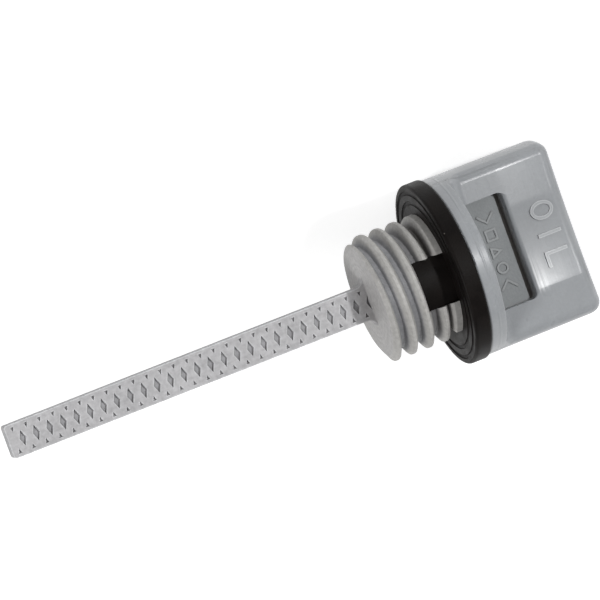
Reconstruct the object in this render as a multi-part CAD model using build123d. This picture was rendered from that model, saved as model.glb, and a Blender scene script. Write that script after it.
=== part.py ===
from build123d import *
import os
from math import acos, atan2, cos, degrees, floor, hypot, pi, radians, sin, sqrt, tan

# Oil filler cap and dipstick of a small engine: a moulded body in one piece, with a wing
# handle, a flange, a threaded shank and a flat lattice blade, and a rubber packing on it.
# While it is built, X runs along the shank to the handle, Z is square to the lettered face
# and X = 0 is the face of the flange that the packing seats on. It is then laid down.

# Handle and flange
flange_diameter = 31.1
flange_thickness = 2.95
rim_rounding = 0.35
wing_length = 21.4
wing_thickness = 10.4
wing_side_draft = 0.1
wing_edge_radius = 2.0
wing_end_radius = 1.9
wing_end_dish = 0.25
wing_root_radius = 2.3
side_step = 0.03
face_centre = 0.3

# Pocket in each face of the handle
pocket_length = 7.8
pocket_width = 18.8
pocket_depth = 2.2
pocket_wall_lean = 1.5
pocket_rim_radius = 1.0
pocket_corner_radius = 0.9

# Lettering and the row of plain shapes, all raised
letter_height = 4.1
letter_width = 3.2
letter_pitch = 4.05
letter_stroke = 0.6
letter_foot = 2.7
letter_middle = 16.6
mark_height = 2.9
mark_size = 2.1
mark_pitch = 2.9
mark_stroke = 0.38
mark_middle = 7.6
relief = 0.25
mark_relief = 0.2

# Thread and shank
thread_diameter = 21.76
thread_pitch = 3.0
thread_depth = 1.7
thread_crest = 0.55
thread_flank_angle = 28.0
crest_rounding = 0.2
root_overlap = 0.1
thread_phase = -3.8
shank_length = 15.3
lead_in_angle = 55.0
lead_in_rise = 0.55
cut_margin = 1.0

# Packing
seal_overhang = 0.35
seal_thickness = 3.0
seal_front_rounding = 0.5
seal_rear_rounding = 0.35
seal_bore_clearance = 0.1
seal_groove_insets = (3.1, 1.35)
seal_groove_depth = 0.35
seal_gap = 0.05

# Locking recess across the thread on both sides, and the rubber tongue that fills it
recess_width = 8.5
recess_reach = 8.45
recess_floor = 8.2
tongue_gap = 0.05
tongue_sink = 0.9

# Land where the last turn of the thread runs out beside the packing
land_width = 1.1
land_start = -20.0
land_end = 152.0

# Blade
blade_length = 65.35
blade_thickness = 2.5
blade_root_width = 5.75
blade_tip_width = 5.65
blade_corner_radius = 0.5
blade_root_radius = 1.5
lattice_pitch = 2.414
lattice_first = 2.5
lattice_clearance = 0.1
lattice_half_height = 2.86
lattice_rib = 1.12
lattice_rim = 0.62
lattice_depth = 0.5
lattice_draft = 12.0

# Values worked out from the sizes above
flange_r = flange_diameter / 2
wing_end_r = flange_r - wing_side_draft
half_wing = wing_thickness / 2
thread_r = thread_diameter / 2
root_r = thread_r - thread_depth
seal_r = flange_r + seal_overhang
cut_r = thread_r + cut_margin
blade_tip = shank_length + blade_length
seal_front = -seal_thickness
lattice_end = -shank_length - lattice_clearance
rib_angle = atan2(lattice_half_height, lattice_pitch / 2)
lozenge_half_long = lattice_half_height - lattice_rib / 2 / cos(rib_angle)
lozenge_half_wide = lattice_pitch / 2 - lattice_rib / 2 / sin(rib_angle)


def side_radius(x):
    """Radius of the handle's narrow sides, which lean in from the flange to the outer end."""
    return flange_r + (wing_end_r - flange_r) * x / wing_length


def wing_section(x, half_thickness, corner):
    """Section of the handle at x: two flat faces, two round sides and four rounded corners."""
    radius = side_radius(x) - side_step
    side = sqrt(radius ** 2 - half_thickness ** 2)
    disc = Circle(radius) & Rectangle(2 * radius, 2 * half_thickness)
    corners = [v for v in disc.vertices() if abs(abs(v.X) - side) < 0.01]
    return Plane(origin=(x, 0, 0), x_dir=(0, 1, 0), z_dir=(1, 0, 0)) * fillet(corners, corner)


def end_dish():
    """Large round that leaves the handle's outer end a little hollow from side to side."""
    radius = (wing_end_r ** 2 + wing_end_dish ** 2) / (2 * wing_end_dish)
    return Pos(wing_length + radius - wing_end_dish, 0, 0) * Cylinder(radius, 2 * wing_thickness)


def wing():
    """Handle blade, with the concave root that runs out of the flange."""
    root_end = flange_thickness + wing_root_radius
    blank = loft([wing_section(root_end, half_wing, wing_edge_radius),
                  wing_section(wing_length, half_wing, wing_edge_radius)])
    blank -= end_dish()
    end_face = blank.faces().sort_by(Axis.X)[-1]
    blank = fillet(end_face.edges(), wing_end_radius)
    sections = []
    steps = 4
    for step in range(steps + 1):
        turn = radians(90 * step / steps)
        x = root_end - wing_root_radius * sin(turn)
        rise = wing_root_radius * (1 - cos(turn))
        corner = wing_edge_radius + (rim_rounding - wing_edge_radius) * step / steps
        sections.append(wing_section(x, half_wing + rise, corner))
    root = loft(sections)
    foot = Solid.extrude(root.faces().sort_by(Axis.X)[0], Vector(-flange_thickness / 2, 0, 0))
    return blank + root + foot


def flange():
    """Round flange with both rims slightly rounded."""
    disc = Plane.YZ * Cylinder(flange_r, flange_thickness, align=(Align.CENTER, Align.CENTER, Align.MIN))
    return fillet(disc.edges().filter_by(GeomType.CIRCLE), rim_rounding)


def pocket():
    """Hollow in one face, with an upright back wall and a soft rounded outer rim."""
    floor_z = half_wing - pocket_depth
    above = half_wing + cut_margin
    lean = radians(pocket_wall_lean)
    start = flange_thickness
    end = start + pocket_length
    rim = pocket_rim_radius
    arc_z = half_wing - rim * (1 - sin(lean))
    arc_x = end + (arc_z - floor_z) * tan(lean)
    centre = (arc_x + rim * cos(lean), half_wing - rim)
    middle = radians(135) - lean / 2
    with BuildSketch(Plane.XZ) as side:
        with BuildLine():
            Line((start, floor_z), (end, floor_z))
            Line((end, floor_z), (arc_x, arc_z))
            ThreePointArc((arc_x, arc_z),
                          (centre[0] + rim * cos(middle), centre[1] + rim * sin(middle)),
                          (centre[0], half_wing))
            Polyline((centre[0], half_wing), (centre[0], above), (start, above), (start, floor_z))
        make_face()
    hollow = extrude(side.sketch, amount=pocket_width / 2, both=True)
    corners = [edge for edge in hollow.edges() if abs(edge.center().Y) > pocket_width / 2 - 0.01
               and end - 0.01 < edge.center().X < centre[0] and edge.center().Z > floor_z]
    return Pos(0, face_centre, 0) * fillet(corners, min(pocket_corner_radius, rim))


def raised(sketch, height, top=relief):
    """Raises a flat shape, drawn with X as its own up and -Y as its reading direction."""
    lettering = Plane(origin=(0, 0, height - top), x_dir=(1, 0, 0), z_dir=(0, 0, 1))
    return extrude(lettering * sketch, amount=2 * top)


def outline(shape, stroke):
    """Ring of one stroke's width inside a flat shape's edge."""
    return shape - offset(shape, amount=-stroke)


def lettering():
    """The word that says what the cap is for, in plain raised strokes."""
    ring = Ellipse(letter_height / 2, letter_width / 2)
    ring -= Ellipse(letter_height / 2 - letter_stroke, letter_width / 2 - letter_stroke)
    bar = Rectangle(letter_height, letter_stroke)
    foot = Pos(-(letter_height - letter_stroke) / 2, (letter_stroke - letter_foot) / 2) * Rectangle(
        letter_stroke, letter_foot)
    x = letter_middle
    row = [Pos(x, face_centre + letter_pitch) * ring, Pos(x, face_centre) * bar,
           Pos(x, face_centre - letter_pitch + letter_foot / 3) * (bar + foot)]
    return [raised(letter, half_wing) for letter in row]


def chevron(direction):
    """Open arrow head of two strokes that points along Y."""
    tip = direction * mark_height / 4
    points = [(-mark_height / 2, -tip), (0, tip), (mark_height / 2, -tip)]
    return trace(Polyline(*points), mark_stroke)


def marks():
    """Row of plain shapes on the floor of the pocket."""
    half = mark_size / 2
    shapes = [chevron(-1),
              outline(Rectangle(mark_size, mark_size), mark_stroke),
              outline(Polygon((half, 0), (-half, half), (-half, -half)), mark_stroke),
              outline(Circle(half), mark_stroke),
              chevron(1)]
    row = []
    for index, shape in enumerate(shapes):
        y = face_centre + (len(shapes) // 2 - index) * mark_pitch
        row.append(raised(Pos(mark_middle, y) * shape, half_wing - pocket_depth, mark_relief))
    return row


def handle():
    """Flange and wing with both pockets, the lettering and the marks."""
    body = wing() + flange()
    hollow = pocket()
    body -= hollow
    body -= mirror(hollow, about=Plane.XY)
    return body + lettering() + marks()


def ridge_side():
    """One side of the ridge's profile, from the middle of the crest down into the root."""
    flank = radians(thread_flank_angle)
    swing = pi / 2 - flank
    arc_x = thread_crest / 2 - crest_rounding * tan(swing / 2)
    arc_r = thread_r - crest_rounding
    steps = 3
    side = []
    for step in range(steps + 1):
        turn = swing * step / steps
        side.append((arc_x + crest_rounding * sin(turn), arc_r + crest_rounding * cos(turn)))
    sunk_r = root_r - root_overlap
    side.append((thread_crest / 2 + (thread_r - sunk_r) * tan(flank), sunk_r))
    return side


def thread_ridge():
    """Helical ridge of the thread, long enough to be trimmed at both ends."""
    side = ridge_side()
    profile = [(-x, r) for x, r in reversed(side)] + side
    turns = 2 + floor((shank_length + thread_phase) / thread_pitch)
    length = turns * thread_pitch
    start = thread_phase - length
    helices = []
    for shift, radius in profile:
        frame = Plane(origin=(start + shift, 0, 0), x_dir=(0, 1, 0), z_dir=(1, 0, 0))
        helices.append(frame.location * Edge.make_helix(thread_pitch, length, radius))
    ring = helices[1:] + helices[:1]
    faces = [Face.make_surface_from_curves(a, b) for a, b in zip(helices, ring)]
    for end in (0, 1):
        corners = [helix.position_at(end) for helix in helices]
        faces.append(Face(Wire.make_polygon(corners, close=True)))
    return Solid(Shell(faces))


def run_out():
    """Land beside the packing that the last turn of the thread runs into."""
    edge = seal_front - seal_gap
    crest = edge - land_width
    side = [(crest + thread_crest / 2 - x, r) for x, r in reversed(ridge_side())]
    with BuildSketch(Plane.XY) as section:
        with BuildLine():
            Polyline(*side, (edge, thread_r), (edge, root_r - root_overlap), close=True)
        make_face()
    land = revolve(section.sketch, axis=Axis.X, revolution_arc=land_end - land_start)
    return land.rotate(Axis.X, land_start)


def lead_in():
    """Space outside the cone that chamfers the first turn at the end of the shank."""
    start_r = root_r + lead_in_rise
    run = (cut_r - start_r) / tan(radians(lead_in_angle))
    beyond = 3 * thread_pitch
    blank = Plane.YZ.offset(-shank_length - beyond) * Cylinder(
        cut_r, beyond + run, align=(Align.CENTER, Align.CENTER, Align.MIN))
    cone = Plane.YZ.offset(-shank_length) * Cone(
        start_r, cut_r, run, align=(Align.CENTER, Align.CENTER, Align.MIN))
    return blank - cone


def recess(width, bottom, near, far):
    """Straight sided block across the shank on both faces, from near to far along X."""
    block = Box(far - near, width, cut_r - bottom, align=(Align.MIN, Align.CENTER, Align.MIN))
    upper = Pos(near, 0, bottom) * block
    return upper + mirror(upper, about=Plane.XY)


def thread():
    """Thread turns between the lead-in at the end and the packing, with their run-out."""
    past_seal = Plane.YZ.offset(seal_front - seal_gap) * Cylinder(
        cut_r, seal_thickness + seal_gap, align=(Align.CENTER, Align.CENTER, Align.MIN))
    return thread_ridge() - past_seal - lead_in() + run_out()


def lattice_cut(x, y, clip):
    """Tapered hollow between the ribs, a whole lozenge or the part of it inside the clip."""
    lozenge = Pos(x, y) * Polygon((lozenge_half_wide, 0), (0, lozenge_half_long),
                                  (-lozenge_half_wide, 0), (0, -lozenge_half_long))
    face = Plane.XY.offset(blade_thickness / 2)
    return extrude(face * (lozenge & clip), amount=-lattice_depth, taper=lattice_draft)


def lattice():
    """Hollows of the oil-holding lattice on both faces, up to the end of the shank."""
    half_width = blade_root_width / 2 - lattice_rim
    clip = Pos(-blade_tip, 0) * Rectangle(blade_tip + lattice_end, 2 * half_width,
                                          align=(Align.MIN, Align.CENTER))
    room = blade_tip + lattice_end - lattice_first + lozenge_half_wide / 2
    cuts = []
    for index in range(1 + floor(room / lattice_pitch)):
        x = -blade_tip + lattice_first + index * lattice_pitch
        cuts.append(lattice_cut(x, 0, clip))
        for side in (-1, 1):
            cuts.append(lattice_cut(x - lattice_pitch / 2, side * lattice_half_height, clip))
    return cuts + [mirror(cut, about=Plane.XY) for cut in cuts]


def blade():
    """Flat blade that widens a little towards the shank and flares into its end."""
    half_root = blade_root_width / 2
    half_tip = blade_tip_width / 2
    end = -shank_length + root_r / 2
    shape = Polygon((-blade_tip, half_tip), (-blade_tip, -half_tip), (end, -half_root), (end, half_root),
                    align=None)
    tip = shape.vertices().sort_by(Axis.X)[:2]
    shape = fillet(tip, blade_corner_radius)
    shape += Pos(-shank_length, 0) * Rectangle(
        root_r / 2, 2 * (half_root + 2 * blade_root_radius), align=(Align.MIN, Align.CENTER))
    inner = [v for v in shape.vertices() if abs(v.X + shank_length) < 0.01 and abs(v.Y) < half_root + 0.01]
    shape = fillet(inner, blade_root_radius)
    return extrude(shape, amount=blade_thickness / 2, both=True)


def stem():
    """Plain shank with the blade growing out of its end, and the lattice in the blade."""
    core = Plane.YZ.offset(-shank_length) * Cylinder(
        root_r, shank_length, align=(Align.CENTER, Align.CENTER, Align.MIN))
    return core + blade() - lattice()


def dipstick_body():
    """The moulded body: handle, threaded shank and blade in one piece."""
    shank = stem() + thread() - recess(recess_width, recess_floor, -recess_reach, 0)
    return shank + handle()


def seal_ring():
    """Rubber packing with ribs on its face and two tongues that lock it on the thread."""
    outer = Plane.YZ.offset(seal_front) * Cylinder(
        seal_r, seal_thickness, align=(Align.CENTER, Align.CENTER, Align.MIN))
    rims = outer.edges().filter_by(GeomType.CIRCLE).sort_by(Axis.X)
    outer = fillet(rims[0], seal_front_rounding)
    rims = outer.edges().filter_by(GeomType.CIRCLE).sort_by(Axis.X)
    outer = fillet(rims[-1], seal_rear_rounding)
    for inset in seal_groove_insets:
        outer -= Pos(seal_front, 0, 0) * Rot(0, 90, 0) * Torus(seal_r - inset, seal_groove_depth)
    bore = root_r + seal_bore_clearance
    outer -= Plane.YZ.offset(seal_front) * Cylinder(
        bore, seal_thickness, align=(Align.CENTER, Align.CENTER, Align.MIN))
    tongue = recess(recess_width - 2 * tongue_gap, recess_floor, -recess_reach + tongue_gap, 0)
    tongue &= Plane.YZ.offset(-recess_reach) * Cylinder(
        thread_r - tongue_sink, recess_reach, align=(Align.CENTER, Align.CENTER, Align.MIN))
    return outer + tongue


def rest_tilt():
    """Angle at which the flange's rim and the handle's outer edge both touch the ground."""
    rim = (flange_thickness - rim_rounding, flange_r - rim_rounding, rim_rounding)
    edge = (wing_length - wing_edge_radius, half_wing - wing_edge_radius, wing_edge_radius)
    along = edge[0] - rim[0]
    drop = rim[1] - edge[1]
    gap = hypot(along, drop)
    return degrees(atan2(drop, along) + acos((edge[2] - rim[2]) / gap) - pi / 2)


def main():
    """Builds both pieces, lays them down on the handle and writes them out."""
    pieces = {"dipstick_body": dipstick_body(), "seal_ring": seal_ring()}
    laid = {name: piece.rotate(Axis.Y, rest_tilt()) for name, piece in pieces.items()}
    box = Compound(list(laid.values())).bounding_box()
    to_origin = Pos(-box.center().X, -box.center().Y, -box.min.Z)
    os.makedirs("parts", exist_ok=True)
    for name, piece in laid.items():
        export_step(to_origin * piece, f"parts/{name}.step")
        print(name, "volume", round(piece.volume, 1), "valid", piece.is_valid)


main()
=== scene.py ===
import logging
from dataclasses import dataclass, field
from enum import Enum
from math import cos, pi, radians, sin

import bmesh
import bpy
from mathutils import Matrix, Vector

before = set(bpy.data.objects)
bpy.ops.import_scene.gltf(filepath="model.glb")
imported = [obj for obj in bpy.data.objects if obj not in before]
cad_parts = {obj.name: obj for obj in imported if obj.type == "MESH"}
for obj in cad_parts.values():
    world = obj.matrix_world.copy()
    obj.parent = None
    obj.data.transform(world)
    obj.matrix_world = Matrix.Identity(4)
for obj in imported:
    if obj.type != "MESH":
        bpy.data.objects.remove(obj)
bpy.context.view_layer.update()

logging.basicConfig(level=logging.INFO, format="%(message)s")
log = logging.getLogger("filler_cap")

# The frame is in metres. Sizes on the cap itself are in millimetres along its own shank:
# X towards the handle, Z square to the lettered face, 0 where the packing seats on the flange.
MM = 0.001

Colour = tuple[float, float, float]
Span = tuple[float, float]
Socket = bpy.types.NodeSocket
Masks = dict[str, Socket]


class Coat(Enum):
    """How rough a moulded surface is."""

    SATIN = 0.26
    FLAT = 0.55


@dataclass(frozen=True)
class ShankFrame:
    """Where the cap's own axes lie in the shared frame."""

    seat: Vector = field(default_factory=lambda: Vector((0.0247743, 0.0, 0.0147226)))
    tilt_deg: float = 30.954

    def direction(self, x: float, y: float, z: float) -> Vector:
        """Turns a direction on the cap into the shared frame.

        Args:
            x: Part along the shank.
            y: Part across the handle.
            z: Part square to the lettered face.

        Returns:
            The turned direction, as long as the one given.
        """
        return Matrix.Rotation(radians(self.tilt_deg), 3, "Y") @ Vector((x, y, z))

    def point(self, x: float, y: float, z: float) -> Vector:
        """Turns a point on the cap, in millimetres, into the shared frame.

        Args:
            x: Place along the shank.
            y: Place across the handle.
            z: Place square to the lettered face.

        Returns:
            The point in metres.
        """
        return self.seat + self.direction(x, y, z) * MM


@dataclass(frozen=True)
class NodeSheet:
    """Places and wires the nodes of one shader tree."""

    tree: bpy.types.NodeTree

    def add(self, kind: str, inputs: dict[str, object] | None = None, **settings: object) -> bpy.types.Node:
        """Adds a node.

        Args:
            kind: The node's type name.
            inputs: Values or sockets for the node's inputs, by name.
            settings: Properties to set on the node.

        Returns:
            The new node.
        """
        node = self.tree.nodes.new(kind)
        for name, value in settings.items():
            setattr(node, name, value)
        for name, value in (inputs or {}).items():
            self.feed(value, node.inputs[name])
        return node

    def feed(self, value: object, target: Socket) -> None:
        """Gives an input its value.

        Args:
            value: A socket to link, a number, a vector or a colour.
            target: The input.
        """
        if isinstance(value, Socket):
            self.tree.links.new(value, target)
        elif target.type == "RGBA":
            target.default_value = (*value, 1.0)
        else:
            target.default_value = value

    def maths(self, operation: str, *values: object) -> Socket:
        """Adds a Math node.

        Args:
            operation: The Math node's operation.
            values: Its inputs, each a socket or a number.

        Returns:
            The node's result.
        """
        node = self.add("ShaderNodeMath", operation=operation)
        for target, value in zip(node.inputs, values):
            self.feed(value, target)
        return node.outputs[0]

    def times(self, *values: object) -> Socket:
        """Multiplies two or more values.

        Args:
            values: Sockets or numbers, of which one at least is a socket.

        Returns:
            The product.
        """
        result = values[0]
        for value in values[1:]:
            result = self.maths("MULTIPLY", result, value)
        return result

    def plus(self, *values: object) -> Socket:
        """Adds two or more values.

        Args:
            values: Sockets or numbers, of which one at least is a socket.

        Returns:
            The sum.
        """
        result = values[0]
        for value in values[1:]:
            result = self.maths("ADD", result, value)
        return result

    def between(self, value: object, at_zero: float, at_one: float) -> Socket:
        """Stretches a value from 0 to 1 to run between two others."""
        return self.maths("MULTIPLY_ADD", value, at_one - at_zero, at_zero)

    def step(self, value: object, start: float, end: float) -> Socket:
        """Turns a value into a soft step from 0 to 1.

        Args:
            value: The value to test.
            start: Where the step is still 0.
            end: Where the step has reached 1.

        Returns:
            The step.
        """
        flip = start > end
        node = self.add("ShaderNodeMapRange", {
            "Value": value, "From Min": min(start, end), "From Max": max(start, end),
            "To Min": float(flip), "To Max": float(not flip)}, interpolation_type="SMOOTHSTEP")
        return node.outputs["Result"]

    def past(self, value: object, base: float, span: Span) -> Socket:
        """Turns a value into a soft step whose ends lie a little way from a base."""
        return self.step(value, base + span[0], base + span[1])

    def band(self, value: object, low: float, high: float, soft: float) -> Socket:
        """Makes a mask that is 1 between two limits.

        Args:
            value: The value to test.
            low: The lower limit.
            high: The upper limit.
            soft: Width of the soft edge outside each limit.

        Returns:
            The mask.
        """
        return self.times(self.step(value, low - soft, low), self.step(value, high + soft, high))

    def blend(self, factor: object, first: object, second: object) -> Socket:
        """Mixes two colours.

        Args:
            factor: How much of the second colour shows.
            first: A colour or a socket.
            second: A colour or a socket.

        Returns:
            The mixed colour.
        """
        node = self.add("ShaderNodeMix", data_type="RGBA")
        for index, value in ((0, factor), (6, first), (7, second)):
            self.feed(value, node.inputs[index])
        return node.outputs[2]

    def shade(self, colour: object, amount: object) -> Socket:
        """Multiplies a colour by a value.

        Args:
            colour: A colour or a socket.
            amount: A number or a socket.

        Returns:
            The lighter or darker colour.
        """
        node = self.add("ShaderNodeVectorMath", operation="SCALE")
        self.feed(colour, node.inputs[0])
        self.feed(amount, node.inputs["Scale"])
        return node.outputs[0]

    def noise(self, inputs: dict[str, object], dimensions: str = "3D") -> Socket:
        """Adds a noise and returns its value, which swings about 0.5."""
        return self.add("ShaderNodeTexNoise", inputs, noise_dimensions=dimensions).outputs["Fac"]

    def bump(self, height: Socket) -> Socket:
        """Turns a height in millimetres into a normal."""
        return self.add("ShaderNodeBump", {"Height": height, "Distance": MM}).outputs["Normal"]

    def place_grain(self, grain: bpy.types.NodeTree, place: Socket, fine: float,
                    broad: float) -> bpy.types.Node:
        """Adds the moulding grain to a material.

        Args:
            grain: The moulding grain group.
            place: Place on the cap in millimetres.
            fine: Scale of the grain.
            broad: Scale of the cloudy tone.

        Returns:
            The group's node.
        """
        node = self.add("ShaderNodeGroup", node_tree=grain)
        for name, value in (("Place", place), ("Grain Scale", fine), ("Cloud Scale", broad)):
            self.feed(value, node.inputs[name])
        return node


def moulding_grain() -> bpy.types.NodeTree:
    """Builds the fine grain and the cloudy tone that every moulded surface has.

    Returns:
        A group that puts out the grain's height and the cloud's mask.
    """
    group = bpy.data.node_groups.new("moulding_grain", "ShaderNodeTree")
    for name, way, kind in (("Place", "INPUT", "Vector"), ("Grain Scale", "INPUT", "Float"),
                            ("Cloud Scale", "INPUT", "Float"), ("Grain", "OUTPUT", "Float"),
                            ("Cloud", "OUTPUT", "Float")):
        group.interface.new_socket(name=name, in_out=way, socket_type="NodeSocket" + kind)
    sheet = NodeSheet(group)
    given = sheet.add("NodeGroupInput").outputs
    fine = sheet.noise({
        "Vector": given["Place"], "Scale": given["Grain Scale"], "Detail": 3.0, "Roughness": 0.6})
    broad = sheet.noise({"Vector": given["Place"], "Scale": given["Cloud Scale"], "Detail": 2.0})
    sheet.add("NodeGroupOutput", {"Grain": fine, "Cloud": sheet.step(broad, 0.3, 0.7)})
    return group


def shank_place(sheet: NodeSheet, axes: ShankFrame) -> Socket:
    """Gives a material its place on the cap in millimetres along the cap's own axes.

    Args:
        sheet: The material's node tree.
        axes: The cap's own axes.

    Returns:
        The place as a vector.
    """
    turn = sheet.add("ShaderNodeMapping", {
        "Vector": sheet.add("ShaderNodeTexCoord").outputs["Object"],
        "Location": axes.seat, "Rotation": (0.0, radians(axes.tilt_deg), 0.0), "Scale": (MM, MM, MM)},
        vector_type="TEXTURE")
    return turn.outputs["Vector"]


@dataclass(frozen=True)
class Spot:
    """The shaded point's place on the cap, as sockets that give millimetres."""

    vector: Socket
    along: Socket
    across: Socket
    side: Socket
    height: Socket
    radius: Socket

    @classmethod
    def read(cls, sheet: NodeSheet, vector: Socket) -> "Spot":
        """Splits a place on the cap into the measures that the masks need.

        Args:
            sheet: The material's node tree.
            vector: Place on the cap in millimetres.

        Returns:
            The measures.
        """
        along, across, up = sheet.add("ShaderNodeSeparateXYZ", {"Vector": vector}).outputs
        side = sheet.maths("ABSOLUTE", across)
        height = sheet.maths("ABSOLUTE", up)
        radius = sheet.maths("SQRT", sheet.plus(sheet.times(across, across), sheet.times(up, up)))
        return cls(vector, along, across, side, height, radius)


@dataclass(frozen=True)
class CapMap:
    """Finds the parts of the moulding by their places on it, in millimetres.

    A span says where a soft step is still 0 and where it is full. The rises, skins and sides are measured
    from the surface that they belong to.
    """

    handle_start: Span = (-0.3, 0.1)
    face_height: float = 5.2
    face_skin: Span = (-0.6, -0.1)
    letters_rise: Span = (0.03, 0.12)
    letters_top: Span = (0.8, 0.4)
    letters_start: Span = (12.0, 12.5)
    pocket_start: float = 3.0
    floor_end: float = 10.75
    floor_half: float = 9.4
    floor_middle: float = 0.3
    floor_height: float = 3.0
    floor_skin: Span = (0.6, 0.3)
    floor_side: Span = (0.1, -0.1)
    rim_reach: float = 0.2
    rim_soft: float = 0.05
    marks_rise: Span = (0.05, 0.15)
    wall_rise: Span = (0.3, 0.5)
    wall_top: Span = (-0.15, -0.7)
    foot_rise: Span = (1.3, 0.2)
    foot_reach: Span = (-0.45, 0.15)
    foot_soft: float = 0.12
    # where the painted highlight patch beside the pocket lies
    sheen_along: tuple[Span, Span] = ((11.55, 11.85), (14.6, 12.2))
    sheen_across: tuple[Span, Span] = ((-0.5, -6.5), (-8.9, -7.9))
    sheen_height: Span = (4.9, 5.1)
    ridge: Span = (1.68, 1.72)
    ridge_soft: float = 0.28
    root_radius: float = 9.18
    crest_radius: float = 10.88
    shank_end: float = -15.3
    groove_skin: Span = (-0.5, 0.2)
    groove_end: Span = (0.0, 0.5)
    # where the thread darkens next to the packing: partly oil stain, partly painted shade
    stain_and_shade_start: Span = (-10.5, -4.0)
    stain_and_shade_end: Span = (0.0, -0.5)
    stain_and_shade_on_crests: float = 0.15
    blade_face: float = 1.25
    blade_side: float = 2.8
    hollow_skin: Span = (-0.05, -0.4)
    hollow_side: Span = (-0.2, -0.4)
    diamond_side: Span = (1.9, 1.5)
    blade_skin: Span = (-0.12, -0.03)
    root_shade: Span = (-3.6, -0.6)
    blade_start: Span = (0.05, -0.05)
    side_skin: Span = (-0.1, 0.0)

    def handle_parts(self, sheet: NodeSheet, spot: Spot) -> Masks:
        """Marks out the parts of the handle and the flange.

        Args:
            sheet: The material's node tree.
            spot: The shaded point.

        Returns:
            A mask for each part by name.
        """
        handle = sheet.step(spot.along, *self.handle_start)
        aside = sheet.maths("ABSOLUTE", sheet.maths("SUBTRACT", spot.across, self.floor_middle))
        within = sheet.past(aside, self.floor_half, self.floor_side)
        pocket = sheet.times(sheet.band(
            spot.along, self.pocket_start, self.floor_end + self.rim_reach, self.rim_soft), within)
        floor = sheet.times(pocket, sheet.past(spot.height, self.floor_height, self.floor_skin))
        foot_start, foot_end = (self.floor_end + reach for reach in self.foot_reach)
        return {
            "handle": handle,
            "face": sheet.times(handle, sheet.past(spot.height, self.face_height, self.face_skin)),
            "letters": sheet.times(handle, sheet.past(spot.height, self.face_height, self.letters_rise),
                                   sheet.past(spot.height, self.face_height, self.letters_top),
                                   sheet.step(spot.along, *self.letters_start)),
            "floor": floor,
            "marks": sheet.times(floor, sheet.past(spot.height, self.floor_height, self.marks_rise)),
            # painted shade on the pocket's walls
            "wall_shade": sheet.times(pocket, sheet.past(spot.height, self.floor_height, self.wall_rise),
                                sheet.past(spot.height, self.face_height, self.wall_top)),
            # painted shadow along the foot of the pocket's end wall
            "wall_foot_shade": sheet.times(sheet.band(spot.along, foot_start, foot_end, self.foot_soft), within,
                                     sheet.past(spot.height, self.floor_height, self.foot_rise)),
            # painted highlight patch beside the pocket
            "highlight_patch": sheet.times(*(sheet.step(spot.along, *span) for span in self.sheen_along),
                                 *(sheet.step(spot.across, *span) for span in self.sheen_across),
                                 sheet.step(spot.height, *self.sheen_height)),
            "ridge": sheet.band(spot.along, *self.ridge, self.ridge_soft)}

    def thread_parts(self, sheet: NodeSheet, spot: Spot) -> Masks:
        """Marks out the thread's grooves and the darker zone next to the packing, partly oil stain and
        partly painted shade.

        Args:
            sheet: The material's node tree.
            spot: The shaded point.

        Returns:
            A mask for each part by name.
        """
        crest, root = self.groove_skin
        # where the thread's grooves lie, which get painted shade
        groove_shade = sheet.times(sheet.step(spot.radius, self.crest_radius + crest, self.root_radius + root),
                             sheet.past(spot.along, self.shank_end, self.groove_end))
        return {
            "groove_shade": groove_shade,
            # partly oil stain, partly painted shade next to the packing, full in the grooves
            "stain_and_shade": sheet.times(sheet.step(spot.along, *self.stain_and_shade_start),
                                 sheet.step(spot.along, *self.stain_and_shade_end),
                                 sheet.between(groove_shade, self.stain_and_shade_on_crests, 1.0))}

    def blade_parts(self, sheet: NodeSheet, spot: Spot) -> Masks:
        """Marks out the blade and its lattice.

        Args:
            sheet: The material's node tree.
            spot: The shaded point.

        Returns:
            A mask for each part by name.
        """
        blade = sheet.past(spot.along, self.shank_end, self.blade_start)
        hollow = sheet.times(blade, sheet.past(spot.height, self.blade_face, self.hollow_skin),
                             sheet.past(spot.side, self.blade_side, self.hollow_side))
        return {
            "blade": blade,
            # painted shade on the floors of the lattice diamonds
            "diamond_shade": sheet.times(hollow, sheet.step(spot.side, *self.diamond_side)),
            # painted shade on the blade's narrow sides
            "side_shade": sheet.times(blade, sheet.past(spot.side, self.blade_side, self.side_skin)),
            "blade_top": sheet.times(blade, sheet.past(spot.height, self.blade_face, self.blade_skin)),
            "blade_root": sheet.times(blade, sheet.past(spot.along, self.shank_end, self.root_shade))}


@dataclass(frozen=True)
class Hollow:
    """How the lettered face curves along one measure, in millimetres, since it sank as it cooled."""

    measure: str
    middle: float
    rounding: float
    reach: float
    fall: float
    limit: float = 6.4
    ease: float = 0.8

    def height(self, sheet: NodeSheet, spot: Spot) -> Socket:
        """Works out how far the face stands above the hollow's bottom.

        Args:
            sheet: The material's node tree.
            spot: The shaded point.

        Returns:
            The height in millimetres.
        """
        off = sheet.maths("SUBTRACT", getattr(spot, self.measure), self.middle)
        held = sheet.maths("SMOOTH_MAX", off, -self.reach, self.ease)
        held = sheet.maths("SMOOTH_MIN", held, self.limit, self.ease)
        beyond = sheet.maths("MINIMUM", sheet.maths("ADD", off, self.reach), 0.0)
        return sheet.maths("MULTIPLY_ADD", beyond, self.fall, sheet.times(held, held, 0.5 / self.rounding))


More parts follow.
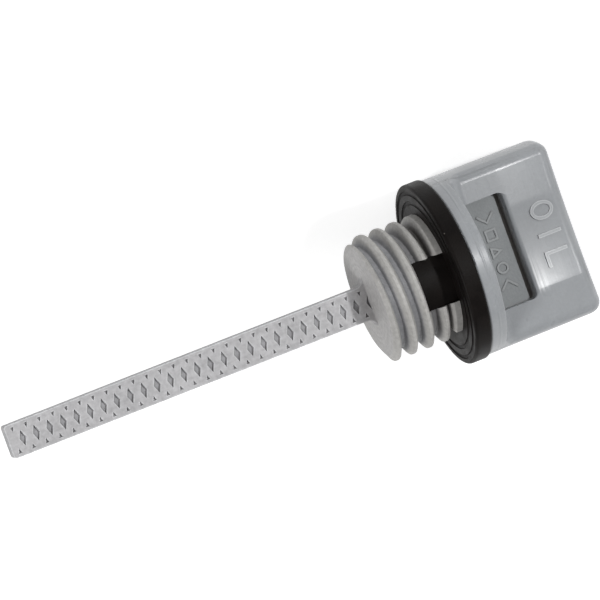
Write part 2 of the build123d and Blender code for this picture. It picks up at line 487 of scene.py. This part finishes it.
class Tone(Enum):
    """The colours that lie over the moulding's own greys; most of them are painted shade or painted
    highlights.
    """

    # painted shade: the pocket floor's darker grey stands in for the shade in the recess
    POCKET_SHADE = (0.300, 0.315, 0.322)
    # painted light: raised letters and marks lighter than the surface round them
    RAISED_LIT = (0.56, 0.58, 0.59)
    # painted shade in the thread's grooves
    GROOVE_SHADE = (0.290, 0.292, 0.305)
    # partly oil stain, partly painted shade: the thread next to the packing, deepest in the grooves
    STAIN_AND_SHADE = (0.062, 0.053, 0.047)
    # a dark brown: painted shade on the pocket's end wall, at its foot and along edges in the pocket and
    # the lattice; also darkens the blade next to the shank
    DARK_BROWN = (0.075, 0.058, 0.046)
    # painted highlight along sharp edges
    EDGE_HIGHLIGHT = (0.68, 0.69, 0.70)
    # painted shade in the lattice diamonds and on the blade's narrow sides
    BLADE_SHADE = (0.43, 0.43, 0.445)
    # painted highlight: a streaky light patch beside the pocket
    SHEEN_HIGHLIGHT = (0.80, 0.81, 0.82)


@dataclass(frozen=True)
class Layer:
    """A colour that lies over the moulding where all its masks meet."""

    tone: Tone
    strength: float
    masks: tuple[str, ...]


@dataclass(frozen=True)
class NylonFinish:
    """Grey moulded nylon: satin on the handle, flat and warmer on the thread and the blade."""

    places: CapMap = CapMap()
    handle: Colour = (0.348, 0.362, 0.378)
    thread: Colour = (0.480, 0.470, 0.452)
    blade: Colour = (0.485, 0.480, 0.490)
    handle_layers: tuple[Layer, ...] = (
        # painted shade over the pocket floor
        Layer(Tone.POCKET_SHADE, 1.0, ("floor",)),
        # painted light on the raised letters and on the marks in the pocket
        Layer(Tone.RAISED_LIT, 0.32, ("letters",)),
        Layer(Tone.RAISED_LIT, 0.35, ("marks",)),
        # painted highlight along the edges of the letters
        Layer(Tone.EDGE_HIGHLIGHT, 0.55, ("edge", "letters")),
        # painted shade along the edges on the pocket floor
        Layer(Tone.DARK_BROWN, 0.20, ("edge", "floor")),
        # painted highlight: streaky light patch beside the pocket
        Layer(Tone.SHEEN_HIGHLIGHT, 0.65, ("highlight_patch", "streaks")),
        # painted shade on the pocket's walls
        Layer(Tone.DARK_BROWN, 0.45, ("wall_shade",)),
        # painted shadow along the foot of the pocket's end wall
        Layer(Tone.DARK_BROWN, 0.80, ("wall_foot_shade",)))
    thread_layers: tuple[Layer, ...] = (
        # painted shade in the thread's grooves
        Layer(Tone.GROOVE_SHADE, 1.0, ("groove_shade",)),
        # partly oil stain, partly painted shade next to the packing
        Layer(Tone.STAIN_AND_SHADE, 1.0, ("stain_and_shade",)))
    blade_layers: tuple[Layer, ...] = (
        # painted shade on the floors of the lattice diamonds
        Layer(Tone.BLADE_SHADE, 1.0, ("diamond_shade",)),
        # painted shade on the blade's narrow sides
        Layer(Tone.BLADE_SHADE, 0.50, ("side_shade",)),
        # painted highlight along the edges of the blade's top
        Layer(Tone.EDGE_HIGHLIGHT, 0.70, ("edge", "blade_top")),
        # painted shade along the edges inside the lattice diamonds
        Layer(Tone.DARK_BROWN, 0.40, ("edge", "diamond_shade")),
        # darker brown on the blade next to the shank
        Layer(Tone.DARK_BROWN, 0.35, ("blade_root",)))
    hollows: tuple[Hollow, ...] = (
        Hollow("along", 16.3, 66.0, 4.6, 0.0),
        Hollow("across", 0.3, 105.0, 8.3, 0.09))
    edge_width: float = 0.45
    edge_turn: Span = (0.995, 0.94)
    grain_scale: float = 2.4
    cloud_scale: float = 0.16
    streaks: Span = (0.25, 0.62)
    polish_scale: tuple[float, float, float] = (3.2, 0.12, 3.2)
    polish_depth: float = 0.008
    satin_grain: float = 0.006
    rough_grain: float = 0.036
    ridge_rise: float = 0.05
    mottle_scale: float = 1.3
    mottle_swing: float = 0.55
    ring_scale: float = 2.2
    ring_swing: float = 0.22
    grain_tone: Span = (0.89, 1.11)
    cloud_tone: Span = (1.03, 0.96)
    cloud_roughness: float = 0.05
    refraction: float = 1.5

    def material(self, axes: ShankFrame, grain: bpy.types.NodeTree) -> bpy.types.Material:
        """Makes the nylon's material.

        Args:
            axes: The cap's own axes.
            grain: The moulding grain group.

        Returns:
            The material.
        """
        result = bpy.data.materials.new("grey_nylon")
        result.use_nodes = True
        sheet = NodeSheet(result.node_tree)
        spot = Spot.read(sheet, shank_place(sheet, axes))
        surface = sheet.place_grain(grain, spot.vector, self.grain_scale, self.cloud_scale)
        lines = self.polish_lines(sheet, spot)
        masks = {**self.places.handle_parts(sheet, spot), **self.places.thread_parts(sheet, spot),
                 **self.places.blade_parts(sheet, spot), "edge": self.edges(sheet),
                 "streaks": sheet.step(lines, *self.streaks)}
        shader = result.node_tree.nodes["Principled BSDF"]
        sheet.feed(self.colour(sheet, spot, masks, surface), shader.inputs["Base Color"])
        sheet.feed(self.roughness(sheet, masks, surface), shader.inputs["Roughness"])
        sheet.feed(self.relief(sheet, spot, masks, surface, lines), shader.inputs["Normal"])
        sheet.feed(self.refraction, shader.inputs["IOR"])
        return result

    def edges(self, sheet: NodeSheet) -> Socket:
        """Finds the sharp edges, where a small rounding would turn the surface away.

        Args:
            sheet: The material's node tree.

        Returns:
            A mask that is 1 along every sharp edge.
        """
        rounded = sheet.add("ShaderNodeBevel", {"Radius": self.edge_width * MM}, samples=8)
        turned = sheet.add("ShaderNodeVectorMath", operation="DOT_PRODUCT")
        sheet.feed(rounded.outputs["Normal"], turned.inputs[0])
        sheet.feed(sheet.add("ShaderNodeNewGeometry").outputs["Normal"], turned.inputs[1])
        return sheet.step(turned.outputs["Value"], *self.edge_turn)

    def polish_lines(self, sheet: NodeSheet, spot: Spot) -> Socket:
        """Makes fine lines left by polishing the mould, which run across the handle.

        Args:
            sheet: The material's node tree.
            spot: The shaded point.

        Returns:
            A value that swings about 0.5.
        """
        stretched = sheet.add("ShaderNodeMapping", {"Vector": spot.vector, "Scale": self.polish_scale})
        return sheet.noise({"Vector": stretched.outputs["Vector"], "Scale": 1.0, "Detail": 2.0})

    def paint(self, sheet: NodeSheet, masks: Masks, base: Colour, layers: tuple[Layer, ...]) -> Socket:
        """Lays colours over a grey, one after another.

        Args:
            sheet: The material's node tree.
            masks: The parts of the moulding.
            base: The grey at the bottom.
            layers: The colours over it.

        Returns:
            The painted colour.
        """
        tone: object = base
        for layer in layers:
            cover = sheet.times(*(masks[name] for name in layer.masks), layer.strength)
            tone = sheet.blend(cover, tone, layer.tone.value)
        return tone

    def colour(self, sheet: NodeSheet, spot: Spot, masks: Masks, surface: bpy.types.Node) -> Socket:
        """Colours the whole moulding.

        Args:
            sheet: The material's node tree.
            spot: The shaded point.
            masks: The parts of the moulding.
            surface: The moulding grain.

        Returns:
            The colour.
        """
        shank = sheet.blend(masks["blade"], self.paint(sheet, masks, self.thread, self.thread_layers),
                            self.paint(sheet, masks, self.blade, self.blade_layers))
        tone = sheet.blend(masks["handle"], shank,
                           self.paint(sheet, masks, self.handle, self.handle_layers))
        cloud = sheet.between(surface.outputs["Cloud"], *self.cloud_tone)
        speckle = sheet.between(surface.outputs["Grain"], *self.grain_tone)
        uneven = sheet.maths("ADD", speckle, self.casting_marks(sheet, spot, masks))
        return sheet.shade(tone, sheet.times(cloud, uneven))

    def casting_marks(self, sheet: NodeSheet, spot: Spot, masks: Masks) -> Socket:
        """Makes the mottling and the faint rings that show on everything but the handle.

        Args:
            sheet: The material's node tree.
            spot: The shaded point.
            masks: The parts of the moulding.

        Returns:
            A value that swings about 0.
        """
        bare = sheet.maths("SUBTRACT", 1.0, masks["handle"])
        mottle = sheet.noise({"Vector": spot.vector, "Scale": self.mottle_scale, "Detail": 2.0})
        rings = sheet.noise({"W": spot.radius, "Scale": self.ring_scale, "Detail": 1.0}, "1D")
        return sheet.maths(
            "ADD", sheet.times(sheet.maths("SUBTRACT", mottle, 0.5), bare, self.mottle_swing),
            sheet.times(sheet.maths("SUBTRACT", rings, 0.5), bare, self.ring_swing))

    def roughness(self, sheet: NodeSheet, masks: Masks, surface: bpy.types.Node) -> Socket:
        """Sets how rough each part is.

        Args:
            sheet: The material's node tree.
            masks: The parts of the moulding.
            surface: The moulding grain.

        Returns:
            The roughness.
        """
        satin = sheet.times(masks["handle"], sheet.maths("SUBTRACT", 1.0, masks["floor"]))
        base = sheet.between(satin, Coat.FLAT.value, Coat.SATIN.value)
        return sheet.maths("MULTIPLY_ADD", surface.outputs["Cloud"], self.cloud_roughness, base)

    def relief(self, sheet: NodeSheet, spot: Spot, masks: Masks, surface: bpy.types.Node,
               lines: Socket) -> Socket:
        """Raises the grain, the polishing lines and the flange's ridge, and hollows the lettered face.

        Args:
            sheet: The material's node tree.
            spot: The shaded point.
            masks: The parts of the moulding.
            surface: The moulding grain.
            lines: The polishing lines.

        Returns:
            The normal.
        """
        depth = sheet.between(masks["handle"], self.rough_grain, self.satin_grain)
        depth = sheet.maths("MULTIPLY_ADD", masks["floor"], self.rough_grain - self.satin_grain, depth)
        heights = (
            sheet.times(lines, masks["handle"], self.polish_depth),
            sheet.times(surface.outputs["Grain"], depth),
            sheet.times(masks["ridge"], self.ridge_rise),
            sheet.times(sheet.plus(*(part.height(sheet, spot) for part in self.hollows)), masks["face"]))
        return sheet.bump(sheet.plus(*heights))


@dataclass(frozen=True)
class RubberFinish:
    """Black moulded rubber with a faint brown cast, a dull shine and a little dust."""

    base: Colour = (0.0058, 0.0046, 0.0042)
    worn: Colour = (0.0095, 0.0076, 0.0068)
    dust: Colour = (0.22, 0.20, 0.18)
    grain_scale: float = 3.5
    cloud_scale: float = 0.35
    dust_scale: float = 0.45
    dust_size: Span = (0.045, 0.025)
    roughness: Span = (0.44, 0.54)
    shine: float = 0.085
    grain_depth: float = 0.03

    def material(self, axes: ShankFrame, grain: bpy.types.NodeTree) -> bpy.types.Material:
        """Makes the rubber's material.

        Args:
            axes: The cap's own axes.
            grain: The moulding grain group.

        Returns:
            The material.
        """
        result = bpy.data.materials.new("black_rubber")
        result.use_nodes = True
        sheet = NodeSheet(result.node_tree)
        place = shank_place(sheet, axes)
        surface = sheet.place_grain(grain, place, self.grain_scale, self.cloud_scale)
        specks = sheet.add("ShaderNodeTexVoronoi", {"Vector": place, "Scale": self.dust_scale})
        tone = sheet.blend(surface.outputs["Cloud"], self.base, self.worn)
        tone = sheet.blend(sheet.step(specks.outputs["Distance"], *self.dust_size), tone, self.dust)
        shader = result.node_tree.nodes["Principled BSDF"]
        sheet.feed(tone, shader.inputs["Base Color"])
        sheet.feed(sheet.between(surface.outputs["Cloud"], *self.roughness), shader.inputs["Roughness"])
        sheet.feed(self.shine, shader.inputs["Specular IOR Level"])
        sheet.feed(sheet.bump(sheet.times(surface.outputs["Grain"], self.grain_depth)),
                   shader.inputs["Normal"])
        return result


@dataclass(frozen=True)
class PaperFinish:
    """White paper under the cap, which shows most of its light as plain white to the camera."""

    base: Colour = (0.74, 0.74, 0.74)
    glow: float = 0.62
    rough: float = 0.9
    fibre_scale: float = 900.0
    fibre_tone: Span = (0.98, 1.02)

    def material(self) -> bpy.types.Material:
        """Makes the paper's material.

        Returns:
            The material.
        """
        result = bpy.data.materials.new("white_paper")
        result.use_nodes = True
        sheet = NodeSheet(result.node_tree)
        place = sheet.add("ShaderNodeTexCoord").outputs["Object"]
        fibre = sheet.noise({"Vector": place, "Scale": self.fibre_scale})
        tone = sheet.shade(self.base, sheet.between(fibre, *self.fibre_tone))
        path = sheet.add("ShaderNodeLightPath")
        seen = sheet.maths("MAXIMUM", path.outputs["Is Camera Ray"], path.outputs["Is Glossy Ray"])
        shader = result.node_tree.nodes["Principled BSDF"]
        sheet.feed(tone, shader.inputs["Base Color"])
        sheet.feed(self.rough, shader.inputs["Roughness"])
        sheet.feed((1.0, 1.0, 1.0), shader.inputs["Emission Color"])
        sheet.feed(sheet.times(seen, self.glow), shader.inputs["Emission Strength"])
        return result


def dress_node(name: str, material: bpy.types.Material) -> None:
    """Puts a material on every slot of a node of the frame.

    Args:
        name: The node's name.
        material: The material to show.
    """
    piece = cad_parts[name]
    if not piece.material_slots:
        piece.data.materials.append(material)
    for slot in piece.material_slots:
        slot.link = "OBJECT"
        slot.material = material
    log.info("%s: %d faces in %s", name, len(piece.data.polygons), material.name)


@dataclass
class CapBody:
    """The moulded body: handle, flange, thread and blade in one piece."""

    finish: NylonFinish = field(default_factory=NylonFinish)

    def dress(self, axes: ShankFrame, grain: bpy.types.NodeTree) -> None:
        """Gives the body its nylon finish."""
        dress_node("dipstick_body", self.finish.material(axes, grain))


@dataclass
class Packing:
    """The rubber ring under the flange with its two locking tongues."""

    finish: RubberFinish = field(default_factory=RubberFinish)

    def dress(self, axes: ShankFrame, grain: bpy.types.NodeTree) -> None:
        """Gives the ring its rubber finish."""
        dress_node("seal_ring", self.finish.material(axes, grain))


@dataclass
class PhotoCamera:
    """The photograph's viewpoint, from its fit to the cap's outline."""

    picture: float = 600.0
    pixels_per_mm: float = 6.006
    roll_deg: float = 21.34
    yaw_deg: float = 12.995
    lean_deg: float = 6.5
    seat_at: tuple[float, float] = (451.44, 268.96)
    distance: float = 1200.0
    sensor: float = 36.0
    clip_end: float = 20.0

    def axes(self, cap: ShankFrame) -> tuple[Vector, Vector, Vector]:
        """Works out the camera's own directions.

        Args:
            cap: The cap's own axes.

        Returns:
            Right, up and back as unit vectors in the shared frame.
        """
        yaw, lean, roll = radians(self.yaw_deg), radians(self.lean_deg), radians(self.roll_deg)
        shank = cap.direction(1.0, 0.0, 0.0)
        across = cap.direction(0.0, cos(lean), -sin(lean))
        square = cap.direction(0.0, sin(lean), cos(lean))
        level = shank * cos(yaw) + square * sin(yaw)
        back = square * cos(yaw) - shank * sin(yaw)
        right = level * cos(roll) - across * sin(roll)
        up = level * sin(roll) + across * cos(roll)
        return right, up, back

    def place(self, cap: ShankFrame) -> None:
        """Puts the camera in the scene.

        Args:
            cap: The cap's own axes.
        """
        right, up, back = self.axes(cap)
        lens = bpy.data.cameras.new("photo_camera")
        lens.sensor_width = self.sensor
        lens.lens = self.pixels_per_mm * self.distance / self.picture * self.sensor
        lens.clip_end = self.clip_end
        camera = bpy.data.objects.new("photo_camera", lens)
        bpy.context.scene.collection.objects.link(camera)
        middle = self.picture / 2
        aside = ((self.seat_at[0] - middle) * right + (middle - self.seat_at[1]) * up) / self.pixels_per_mm
        spot = cap.seat + (back * self.distance - aside) * MM
        turn = Matrix((right, up, back)).transposed().to_4x4()
        camera.matrix_world = Matrix.Translation(spot) @ turn
        bpy.context.scene.camera = camera
        log.info("photo_camera: %.0f mm lens", lens.lens)


@dataclass(frozen=True)
class Lamp:
    """A square soft box that faces the cap."""

    name: str
    towards: tuple[float, float, float]
    distance: float
    size: float
    light: float

    def hang(self, cap: ShankFrame, target: Vector) -> None:
        """Hangs the lamp.

        Args:
            cap: The cap's own axes, along which the lamp's direction is given.
            target: The point that the lamp faces.
        """
        away = cap.direction(*self.towards).normalized()
        box = bpy.data.lights.new(self.name, "AREA")
        box.shape = "SQUARE"
        box.size = self.size
        box.energy = self.light * (pi * self.distance) ** 2
        holder = bpy.data.objects.new(self.name, box)
        bpy.context.scene.collection.objects.link(holder)
        turn = away.to_track_quat("Z", "Y").to_matrix().to_4x4()
        holder.matrix_world = Matrix.Translation(target + away * self.distance) @ turn


@dataclass
class Studio:
    """White table, soft lamps and an even sky."""

    table_size: float = 6.0
    sky: float = 0.30
    aim: tuple[float, float, float] = (8.0, 0.0, 4.0)
    paper: PaperFinish = field(default_factory=PaperFinish)
    lamps: tuple[Lamp, ...] = (
        Lamp("key_box", (0.36, 0.09, 0.93), 0.9, 0.05, 0.42),
        Lamp("left_box", (-0.82, -0.24, 0.50), 0.9, 0.30, 0.40),
        Lamp("top_box", (0.10, 0.90, 0.45), 1.0, 0.60, 0.10))

    def build(self, cap: ShankFrame) -> None:
        """Builds the table, the sky and the lamps.

        Args:
            cap: The cap's own axes.
        """
        mesh = bpy.data.meshes.new("table")
        shape = bmesh.new()
        bmesh.ops.create_grid(shape, x_segments=1, y_segments=1, size=self.table_size / 2)
        shape.to_mesh(mesh)
        shape.free()
        mesh.materials.append(self.paper.material())
        table = bpy.data.objects.new("table", mesh)
        bpy.context.scene.collection.objects.link(table)
        self.light_sky()
        for lamp in self.lamps:
            lamp.hang(cap, cap.point(*self.aim))
        log.info("studio: table, sky and %d lamps", len(self.lamps))

    def light_sky(self) -> None:
        """Sets the even light from all round, which the camera sees as white."""
        world = bpy.data.worlds.new("studio_sky")
        world.use_nodes = True
        bpy.context.scene.world = world
        sheet = NodeSheet(world.node_tree)
        seen = sheet.add("ShaderNodeLightPath").outputs["Is Camera Ray"]
        lit = world.node_tree.nodes["Background"]
        sheet.feed((1.0, 1.0, 1.0), lit.inputs["Color"])
        sheet.feed(sheet.between(seen, self.sky, 1.0), lit.inputs["Strength"])


def main() -> None:
    """Builds the scene piece by piece."""
    cap = ShankFrame()
    grain = moulding_grain()
    CapBody().dress(cap, grain)
    Packing().dress(cap, grain)
    PhotoCamera().place(cap)
    Studio().build(cap)
    bpy.context.scene.view_settings.view_transform = "Standard"


if __name__ == "__main__":
    main()
